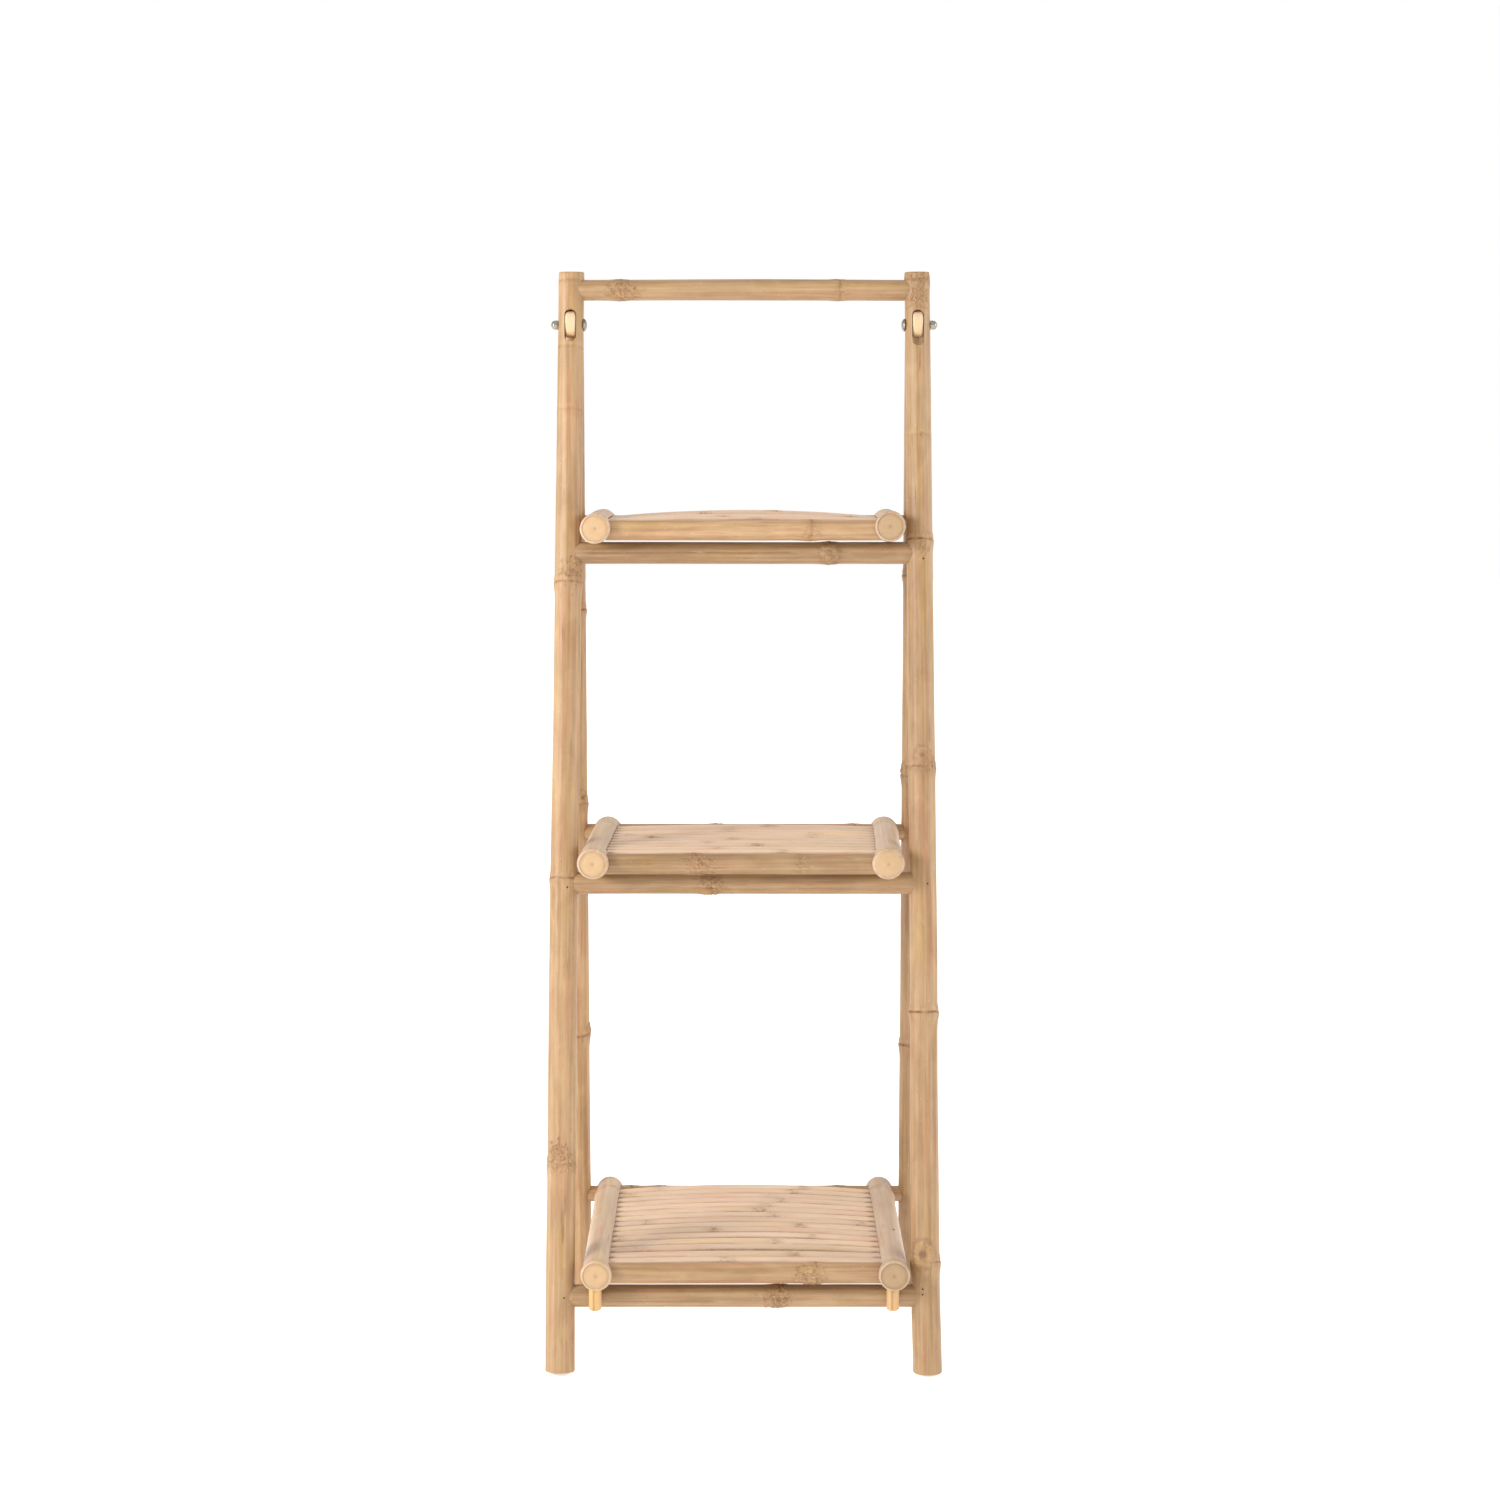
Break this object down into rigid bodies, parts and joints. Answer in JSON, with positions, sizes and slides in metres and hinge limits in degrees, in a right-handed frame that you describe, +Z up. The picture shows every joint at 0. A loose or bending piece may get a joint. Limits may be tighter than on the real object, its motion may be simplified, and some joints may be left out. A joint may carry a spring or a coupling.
{
  "type": "ladder shelf",
  "caption": "Folding A-frame ladder shelf of round bamboo poles: slatted trays pivot on the rear ladder's rungs and rest on the front ladder's.",
  "frame": {"origin": "centre of the footprint's box, on the floor", "axes": "+Z up, +Y to the back, +X to the right seen from the front"},
  "size_m": [0.4363, 0.3615, 1.2],
  "materials": {
    "bamboo_pole": "satin",
    "bamboo_rail": "satin",
    "bamboo_slat": "matte",
    "pale_dowel": "satin",
    "nickel_steel": "polished"
  },
  "bodies": {
    "front_frame": {"front_post_left": "bamboo_pole", "front_post_right": "bamboo_pole", "top_rail": "bamboo_pole", "front_rung_bottom": "bamboo_pole", "front_rung_middle": "bamboo_pole", "front_rung_top": "bamboo_pole", "hinge_bolt_left": "nickel_steel", "hinge_bolt_right": "nickel_steel", "hinge_cap_nut_left": "nickel_steel", "hinge_cap_nut_right": "nickel_steel"},
    "rear_frame": {"rear_leg_left": "bamboo_pole", "rear_leg_right": "bamboo_pole", "rear_rung_bottom": "bamboo_pole", "rear_rung_middle": "bamboo_pole", "rear_rung_top": "bamboo_pole", "hinge_tongue_left": "bamboo_pole", "hinge_tongue_right": "bamboo_pole"},
    "bottom_tray": {"bottom_tray_rail_left": "bamboo_rail", "bottom_tray_rail_right": "bamboo_rail", "bottom_tray_front_bar": "bamboo_pole", "bottom_tray_slat_01": "bamboo_slat", "bottom_tray_slat_02": "bamboo_slat", "bottom_tray_slat_03": "bamboo_slat", "bottom_tray_slat_04": "bamboo_slat", "bottom_tray_slat_05": "bamboo_slat", "bottom_tray_slat_06": "bamboo_slat", "bottom_tray_slat_07": "bamboo_slat", "bottom_tray_slat_08": "bamboo_slat", "bottom_tray_slat_09": "bamboo_slat", "bottom_tray_slat_10": "bamboo_slat", "bottom_tray_slat_11": "bamboo_slat", "bottom_tray_slat_12": "bamboo_slat", "bottom_tray_slat_13": "bamboo_slat", "bottom_tray_slat_14": "bamboo_slat", "bottom_tray_slat_15": "bamboo_slat", "bottom_tray_peg_left": "pale_dowel", "bottom_tray_peg_right": "pale_dowel"},
    "middle_tray": {"middle_tray_rail_left": "bamboo_rail", "middle_tray_rail_right": "bamboo_rail", "middle_tray_front_bar": "bamboo_pole", "middle_tray_slat_01": "bamboo_slat", "middle_tray_slat_02": "bamboo_slat", "middle_tray_slat_03": "bamboo_slat", "middle_tray_slat_04": "bamboo_slat", "middle_tray_slat_05": "bamboo_slat", "middle_tray_slat_06": "bamboo_slat", "middle_tray_slat_07": "bamboo_slat", "middle_tray_slat_08": "bamboo_slat", "middle_tray_slat_09": "bamboo_slat", "middle_tray_slat_10": "bamboo_slat"},
    "top_tray": {"top_tray_rail_left": "bamboo_rail", "top_tray_rail_right": "bamboo_rail", "top_tray_front_bar": "bamboo_pole", "top_tray_slat_01": "bamboo_slat", "top_tray_slat_02": "bamboo_slat", "top_tray_slat_03": "bamboo_slat", "top_tray_slat_04": "bamboo_slat", "top_tray_slat_05": "bamboo_slat"}
  },
  "joints": [
    {"name": "frame_fold", "type": "hinge", "parent": "front_frame", "child": "rear_frame", "pos_m": [0, 0.03638, 1.141], "axis": [-1, 0, 0], "range_deg": [0, 14]},
    {"name": "bottom_tray_swing", "type": "hinge", "parent": "rear_frame", "child": "bottom_tray", "pos_m": [0, 0.15665, 0.1117], "axis": [-1, 0, 0], "range_deg": [0, 84]},
    {"name": "middle_tray_swing", "type": "hinge", "parent": "rear_frame", "child": "middle_tray", "pos_m": [0, 0.11657, 0.557], "axis": [-1, 0, 0], "range_deg": [0, 84]},
    {"name": "top_tray_swing", "type": "hinge", "parent": "rear_frame", "child": "top_tray", "pos_m": [0, 0.08408, 0.9179], "axis": [-1, 0, 0], "range_deg": [0, 84]}
  ]
}
